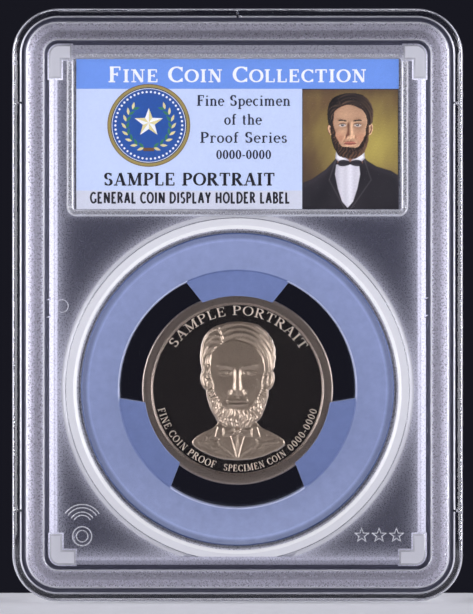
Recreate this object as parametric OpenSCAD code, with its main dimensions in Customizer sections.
// Sealed two-shell display holder for one struck coin: two clear shells welded
// round the edge, a soft three-prong gasket that grips the coin, and a label
// stack with a contactless tag. The holder stands on its bottom edge:
// X across, Z up towards the label, the viewing face looks along -Y.
// Millimetres.

/* [Holder] */
// Width across the holder
holder_w = 62.2; // [61:0.1:64]
// Height of the holder
holder_h = 81.9; // [81:0.1:84]
// Radius of the four outer corners
corner_r = 6.4; // [6.4:0.1:7]
// Depth from the parting plane to the top of the front ridge
front_d = 4.0; // [3.8:0.1:4.4]
// Depth from the parting plane to the rear lip
rear_d = 4.0; // [3.8:0.1:4.4]
// How far the stacking ridge stands above the front shoulder
ridge_step = 1.0; // [0.8:0.1:1.1]
// Thickness of the front and rear walls
wall_t = 1.2; // [1.1:0.1:1.3]
// Rounding on the outer edges
edge_r = 0.7; // [0.3:0.05:0.75]
// Rounding on the ridge
ridge_r = 0.42; // [0.2:0.02:0.44]

/* [Coin] */
// Coin diameter
coin_d = 26.49; // [26:0.01:26.6]
// Coin thickness over the rims
coin_t = 2.0; // [1.8:0.05:2.05]
// Inner diameter of the raised rim
rim_in_d = 23.56; // [23:0.02:24.5]
// How far the field lies below the rim
rim_h = 0.16; // [0.1:0.01:0.25]
// Thickness of each bonded outer layer
clad_t = 0.5; // [0.4:0.05:0.6]
// Height of the coin's centre above the bottom edge
coin_z = 29.3; // [29:0.1:30]

/* [Gasket] */
// Outer diameter of the soft gasket
gasket_d = 43.3; // [43:0.1:43.5]
// Diameter of the circle that the three openings reach out to
window_d = 32.7; // [31:0.1:34]
// Running gap between coin edge and prongs
coin_gap = 0.045; // [0.03:0.005:0.08]
// How far each prong's lips lap over the coin's rim
prong_lap = 0.35; // [0.2:0.05:0.6]
// Half the angle of a prong at its root
prong_half = 26; // [22:0.5:28]
// Half the angle of a prong at the coin
prong_tip_half = 21.5; // [18:0.5:23]

/* [Label] */
// Label width
label_w = 44.5; // [43:0.1:44.6]
// Label height
label_h = 20.97; // [20:0.01:21]
// Height of the label's lower edge
label_z = 54.07; // [54:0.01:54.3]
// Thickness of the label card
card_t = 0.25; // [0.2:0.01:0.26]

/* [Hidden] */
$fn = 96;

shoulder_y = front_d - ridge_step;      // front shoulder outside the ridge
plate_y = front_d - 0.9;                // outer face of the front wall
front_in = plate_y - wall_t;            // inner face of the front wall
back_y = rear_d - ridge_step - 0.05;    // outer face of the rear wall
back_in = back_y - wall_t;              // inner face of the rear wall
frame_u = 6.3;                          // width of the moulded frame round the edge
capsule_r = 21.9;                       // inner radius of the round coin cell
capsule_wall = 1.1;                     // thickness of the cell's wall
capsule_out = 24.35;                    // outer radius of the raised ring
pocket_w = 47.1;                        // label pocket border, outside
pocket_z0 = 53.15;
part_gap = 0.02;                        // half the gap left at the parting plane
weld = 0.05;                            // depth that the tongue's tip melts in
pocket_z1 = holder_h - frame_u;
e = 0.01;

// ---- profiles -------------------------------------------------------------

function unit(v) = v / norm(v);
// Points that round one corner p of a path, coming from a and going to b.
function corner(a, p, b, r, n) =
    r == 0 ? [p] :
    let(u = unit(a - p), v = unit(b - p), ang = acos(u * v),
        d = r / tan(ang / 2), c = p + unit(u + v) * r / sin(ang / 2),
        s = p + u * d, t = p + v * d,
        a0 = atan2(s[1] - c[1], s[0] - c[0]),
        a1 = atan2(t[1] - c[1], t[0] - c[0]),
        da = ((a1 - a0 + 540) % 360) - 180)
    [for (i = [0:n]) c + r * [cos(a0 + da * i / n), sin(a0 + da * i / n)]];
// A closed path whose points carry their own rounding: [x, y, radius, steps].
function rounded(P, n = 4) =
    let(m = len(P))
    [for (i = [0:m - 1])
        let(a = P[(i + m - 1) % m], p = P[i], b = P[(i + 1) % m])
        each corner([a[0], a[1]], [p[0], p[1]], [b[0], b[1]], p[2],
                    p[3] == undef ? n : p[3])];

// Sweeps a profile [inward, depth] round a w by h rectangle that stands on z = 0,
// with corners of radius r.
module sweep_rect(w, h, r, P) {
    for (s = [0, 1]) mirror([s, 0, 0]) {
        translate([-w / 2, 0, h / 2])
            linear_extrude(height = h - 2 * r, center = true) polygon(P);
        for (t = [0, 1])
            translate([0, 0, t * h]) mirror([0, 0, t])
                translate([w / 2 - r, 0, r]) rotate([-90, 0, 0])
                    rotate_extrude(angle = 90)
                        polygon([for (p = P) [r - p[0], p[1]]]);
    }
    for (t = [0, 1])
        translate([0, 0, t * h]) mirror([0, 0, t]) rotate([0, -90, 0])
            linear_extrude(height = w - 2 * r, center = true) polygon(P);
}

// Turns a profile [radius, depth] about the coin's axis.
module turned(P) {
    translate([0, 0, coin_z]) rotate([-90, 0, 0]) rotate_extrude() polygon(P);
}

// Disc or ring about the coin's axis, from depth y0 to y1.
module disc(r, y0, y1) {
    translate([0, y0, coin_z]) rotate([-90, 0, 0]) cylinder(r = r, h = y1 - y0);
}

module box(x0, x1, y0, y1, z0, z1) {
    translate([x0, y0, z0]) cube([x1 - x0, y1 - y0, z1 - z0]);
}

// Lays a flat outline drawn in X and Z between depths y0 and y1.
module upright(y0, y1) {
    translate([0, y1, 0]) rotate([90, 0, 0])
        linear_extrude(height = y1 - y0) children();
}

// ---- raised marks on the front wall --------------------------------------

module arc_band(r0, r1, half) {
    intersection() {
        difference() { circle(r = r1); circle(r = r0); }
        polygon([[0, 0], [-4 * sin(half), 4 * cos(half)], [0, 5],
                 [4 * sin(half), 4 * cos(half)]]);
    }
}

module ring2(r0, r1) { difference() { circle(r = r1, $fn = 48); circle(r = r0, $fn = 48); } }

function star(r, q) = [for (i = [0:9])
    let(s = i % 2 == 0 ? r : r * q) [s * sin(36 * i), s * cos(36 * i)]];

module marks() {
    // Contactless waves over a coin ring
    upright(-plate_y - 0.12, -plate_y + 0.1) translate([-21.4, 10.7]) {
        arc_band(2.7, 2.86, 58);
        arc_band(2.24, 2.4, 58);
        arc_band(1.64, 1.8, 60);
        arc_band(1.2, 1.36, 60);
    }
    upright(-plate_y - 0.12, -plate_y + 0.1) translate([-21.4, 9.1]) {
        ring2(1.22, 1.4);
        ring2(0.72, 0.86);
    }
    // Row of three outlined stars
    for (k = [0:2])
        upright(-plate_y - 0.12, -plate_y + 0.1) translate([17.1 + 2.4 * k, 9.2])
            difference() { polygon(star(1.15, 0.42)); polygon(star(0.78, 0.42)); }
    // Witness of an ejector pin
    upright(-plate_y - 0.05, -plate_y + 0.1) translate([-24.2, 40.8]) ring2(0.82, 0.92);
}

// ---- shells -----------------------------------------------------------------

front_profile = rounded([
    [0, -0.14, 0], [0, -shoulder_y + 0.28, edge_r, 2], [1.12, -shoulder_y + 0.28, 0.1],
    [1.3, -shoulder_y - 0.05, 0.12], [1.78, -shoulder_y - 0.05, 0.1],
    [2.05, -front_d, ridge_r], [4.5, -front_d, ridge_r], [4.85, -plate_y + 0.2, 0.08],
    [5.12, -plate_y + 0.22, 0.08], [5.9, -plate_y - 0.46, 0.2], [frame_u, -plate_y, 0],
    [frame_u, -front_in, 0], [4.75, -front_in, 0.25], [4.6, -part_gap, 0],
    [3.55, -part_gap, 0], [3.5, -1.3, 0.1], [2.4, -1.3, 0.1], [2.35, -part_gap, 0],
    [0.14, -part_gap, 0]]);

rear_profile = rounded([
    [0, 0.14, 0], [0.14, part_gap, 0], [2.45, part_gap, 0],
    [2.5, -1.3 - weld, 0.2], [3.4, -1.3 - weld, 0.2],
    [3.45, part_gap, 0], [4.6, part_gap, 0], [4.75, back_in, 0.25], [frame_u, back_in, 0],
    [frame_u, back_y, 0], [1.6, back_y, 0.12], [1.35, rear_d, ridge_r],
    [0, rear_d, edge_r, 2]]);

// Raised ring round the coin window, with the window's edge rolled into it
ring_profile = rounded([
    [capsule_r - 0.5, -plate_y + 0.5, 0], [capsule_r - 0.5, -plate_y + 0.2, 0],
    [capsule_r + 0.05, -plate_y + 0.2, 0.1], [capsule_r + 0.65, -plate_y - 0.45, 0.35],
    [capsule_out - 0.75, -plate_y - 0.45, 0.4], [capsule_out, -plate_y + 0.02, 0],
    [capsule_out, -plate_y + 0.5, 0]]);

// Wall of the round coin cell, filleted into the shell's flat wall
function cell_profile(y) = rounded([
    [capsule_r, sign(y) * part_gap, 0], [capsule_r, y, 0],
    [capsule_r + capsule_wall + 0.35, y, 0],
    [capsule_r + capsule_wall + 0.02, y - sign(y) * 0.45, 0.3],
    [capsule_r + capsule_wall, sign(y) * part_gap, 0]]);

pocket_profile = rounded([
    [0, -plate_y + 0.4, 0], [0, -plate_y, 0], [0.22, -plate_y - 0.38, 0.16],
    [0.75, -plate_y - 0.38, 0.16], [1.05, -plate_y + 0.2, 0.1],
    [1.3, -plate_y + 0.2, 0], [1.3, -plate_y + 0.4, 0]]);

// Corner lug inside the frame: two legs that bridge the groove, in two levels
module lug_level(x, z, lx, lz, i, y) {
    intersection() {
        union() {
            box(x + i, x + 2.1 - i, y, -plate_y + 0.3, z + i, z + lz - i);
            box(x + i, x + lx - i, y, -plate_y + 0.3, z + i, z + 2.4 - i);
        }
        translate([x + 1.6, y - 1, z + 1.6]) union() {
            translate([0, 0, -1.6]) cube([9, 3, 9]);
            translate([-1.6, 0, 0]) cube([9, 3, 9]);
            rotate([-90, 0, 0]) cylinder(r = 1.6 - i, h = 3, $fn = 48);
        }
    }
}

module lug(x, z, lx, lz) {
    lug_level(x, z, lx, lz, 0, -plate_y - 0.3);
    lug_level(x, z, lx, lz, 0.18, -plate_y - 0.55);
    lug_level(x, z, lx, lz, 0.42, -plate_y - 0.75);
}

module front_shell() color("gainsboro", 0.45) {
    difference() {
        union() {
            sweep_rect(holder_w, holder_h, corner_r, front_profile);
            // Flat wall between the frames
            box(-holder_w / 2 + frame_u - e, holder_w / 2 - frame_u + e,
                -plate_y, -front_in, frame_u - e, holder_h - frame_u + e);
            // Round coin cell: outer ring cut off by the frame and the label pocket
            intersection() {
                turned(ring_profile);
                box(-26, 26, -5, -1, frame_u, pocket_z0 + 0.3);
            }
            turned(cell_profile(-front_in - e));
            marks();
            // Label pocket border
            translate([0, 0, pocket_z0])
                sweep_rect(pocket_w, pocket_z1 - pocket_z0 + 0.2, 0.9 + 0.45, pocket_profile);
            // Walls that locate the label
            for (s = [-1, 1])
                box(s * 22.95 - 0.4, s * 22.95 + 0.4, -front_in - e, -part_gap, 53.9, 75.5);
            // Corner lugs
            for (s = [0, 1]) mirror([s, 0, 0]) {
                lug(-26.05, 5.0, 3.95, 4.6);
                translate([0, 0, holder_h]) mirror([0, 0, 1]) lug(-26.15, 4.95, 3.5, 5.0);
            }
            // Small bridges across the shoulder
            for (s = [-1, 1]) for (z = [12.6, 68.8])
                box(s * (holder_w / 2 - 0.85) - 0.6, s * (holder_w / 2 - 0.85) + 0.6,
                    -shoulder_y - 0.05, -shoulder_y + 0.4, z - 0.16, z + 0.16);
            box(-0.16, 0.16, -shoulder_y - 0.05, -shoulder_y + 0.4, holder_h - 1.45, holder_h - 0.25);
            // Rib pairs in the inner groove
            for (s = [-1, 1]) for (z = [39.4, 41.8])
                box(s * (holder_w / 2 - 5.0) - 0.4, s * (holder_w / 2 - 5.0) + 0.4,
                    -plate_y - 0.1, -plate_y + 0.4, z - 0.18, z + 0.18);
        }
        // Polished window over the coin, sunk below the wall's face
        disc(capsule_r + 0.05, -plate_y - 1, -plate_y + 0.2);
        // Polished window over the label
        box(-pocket_w / 2 + 1.0, pocket_w / 2 - 1.0, -plate_y - 1, -plate_y + 0.2,
            pocket_z0 + 1.0, pocket_z1 - 0.75);
    }
}

module rear_shell() color("gainsboro", 0.45) {
    difference() {
        union() {
            sweep_rect(holder_w, holder_h, corner_r, rear_profile);
            box(-holder_w / 2 + frame_u - e, holder_w / 2 - frame_u + e,
                back_in, back_y, frame_u - e, holder_h - frame_u + e);
            turned(cell_profile(back_in + e));
            // Ribs that press the label stack against the front wall
            for (s = [-1, 1])
                box(s * 21.75 - 0.45, s * 21.75 + 0.45, -1.09, back_in + e, 54.3, 74.85);
            for (z = [54.6, 74.5])
                box(-21.4, 21.4, -1.09, back_in + e, z - 0.35, z + 0.35);
        }
        // Polished windows behind the coin and behind the label
        disc(capsule_r - 0.2, back_y - 0.2, back_y + 1);
        box(-21.2, 21.2, back_y - 0.2, back_y + 1, 55.1, 74.0);
    }
}

// ---- gasket -----------------------------------------------------------------

g0 = -front_in + 0.05;                   // gasket's front face
g1 = back_in - 0.05;                     // gasket's rear face

module coin_gasket() color("lightsteelblue") {
    difference() {
        union() {
            // Outer ring, its inner edges eased
            turned(rounded([
                [window_d / 2, g0 + 0.05, 0.3], [gasket_d / 2, g0 + 0.05, 0.3],
                [gasket_d / 2, g1 - 0.05, 0.3], [window_d / 2, g1 - 0.05, 0.3]]));
            // Three prongs
            for (a = [90, 210, 330])
                upright(g0 + 0.3, g1 - 0.3)
                    translate([0, coin_z]) polygon([
                        [17.4 * cos(a), 17.4 * sin(a)],
                        [16.9 * cos(a - prong_half), 16.9 * sin(a - prong_half)],
                        [12.6 * cos(a - prong_tip_half), 12.6 * sin(a - prong_tip_half)],
                        [12.6 * cos(a + prong_tip_half), 12.6 * sin(a + prong_tip_half)],
                        [16.9 * cos(a + prong_half), 16.9 * sin(a + prong_half)]]);
        }
        disc(coin_d / 2 - prong_lap, -5, 5);
        disc(coin_d / 2 + coin_gap, -coin_t / 2 - 0.05, coin_t / 2 + 0.05);
    }
}

// ---- coin -------------------------------------------------------------------

module coin_core() color("peru") {
    disc(coin_d / 2, -coin_t / 2 + clad_t, coin_t / 2 - clad_t);
}

// One outer layer on the -Y side: a disc with a raised, eased rim
module clad_layer() {
    turned(rounded([
        [0, -coin_t / 2 + rim_h, 0], [rim_in_d / 2 - 0.15, -coin_t / 2 + rim_h, 0],
        [rim_in_d / 2 + 0.08, -coin_t / 2, 0.08], [coin_d / 2, -coin_t / 2, 0.12],
        [coin_d / 2, -coin_t / 2 + clad_t, 0], [0, -coin_t / 2 + clad_t, 0]]));
}

module coin_obverse_layer() color("goldenrod") {
    clad_layer();
    // Raised bust, plain here
    upright(-coin_t / 2 + rim_h - 0.1, -coin_t / 2 + rim_h + 0.1) {
        translate([0, coin_z + 4.2]) circle(r = 3.5);
        translate([0, coin_z + 1.0]) circle(r = 3.0);
        translate([0, coin_z]) polygon([[-2.2, 0], [2.2, 0], [6.2, -5.6], [4.6, -8.4],
                                        [0, -9.6], [-4.4, -8.4], [-5.8, -5.6]]);
    }
}

module coin_reverse_layer() color("goldenrod") {
    mirror([0, 1, 0]) clad_layer();
    // Raised star, plain here
    upright(coin_t / 2 - rim_h - 0.1, coin_t / 2 - rim_h + 0.1)
        translate([0, coin_z]) polygon(star(8, 0.42));
}

// ---- label stack ------------------------------------------------------------

l0 = -front_in + 0.05;                   // label's front face
f0 = l0 + card_t;                        // film's front face
film_t = 0.1;
trace_t = 0.04;
chip_t = 0.12;
r0 = f0 + film_t + chip_t + 0.02;        // rear label's inner face

module front_label() color("aliceblue")
    box(-label_w / 2, label_w / 2, l0, f0, label_z, label_z + label_h);

module rear_label() color("white")
    box(-label_w / 2, label_w / 2, r0, r0 + card_t, label_z, label_z + label_h);

module nfc_film() color("whitesmoke")
    box(-20, 20, f0, f0 + film_t, 55.5, 73.5);

// Five-turn flat coil, drawn as closed rings, with the chip's pads
module nfc_antenna() color("chocolate") {
    for (k = [0:4])
        difference() {
            box(-19 + 0.8 * k, 19 - 0.8 * k, f0 + film_t, f0 + film_t + trace_t,
                56.3 + 0.8 * k, 72.7 - 0.8 * k);
            box(-18.6 + 0.8 * k, 18.6 - 0.8 * k, f0, f0 + 1,
                56.7 + 0.8 * k, 72.3 - 0.8 * k);
        }
}

module nfc_chip() color("dimgray")
    box(-0.5, 0.5, f0 + film_t, f0 + film_t + chip_t, 61.2, 62.2);

module hologram_seal() color("silver")
    box(-8.5, 8.5, r0 + card_t, r0 + card_t + 0.04, 58.3, 70.7);

front_shell();
rear_shell();
coin_gasket();
coin_core();
coin_obverse_layer();
coin_reverse_layer();
front_label();
rear_label();
nfc_film();
nfc_antenna();
nfc_chip();
hologram_seal();
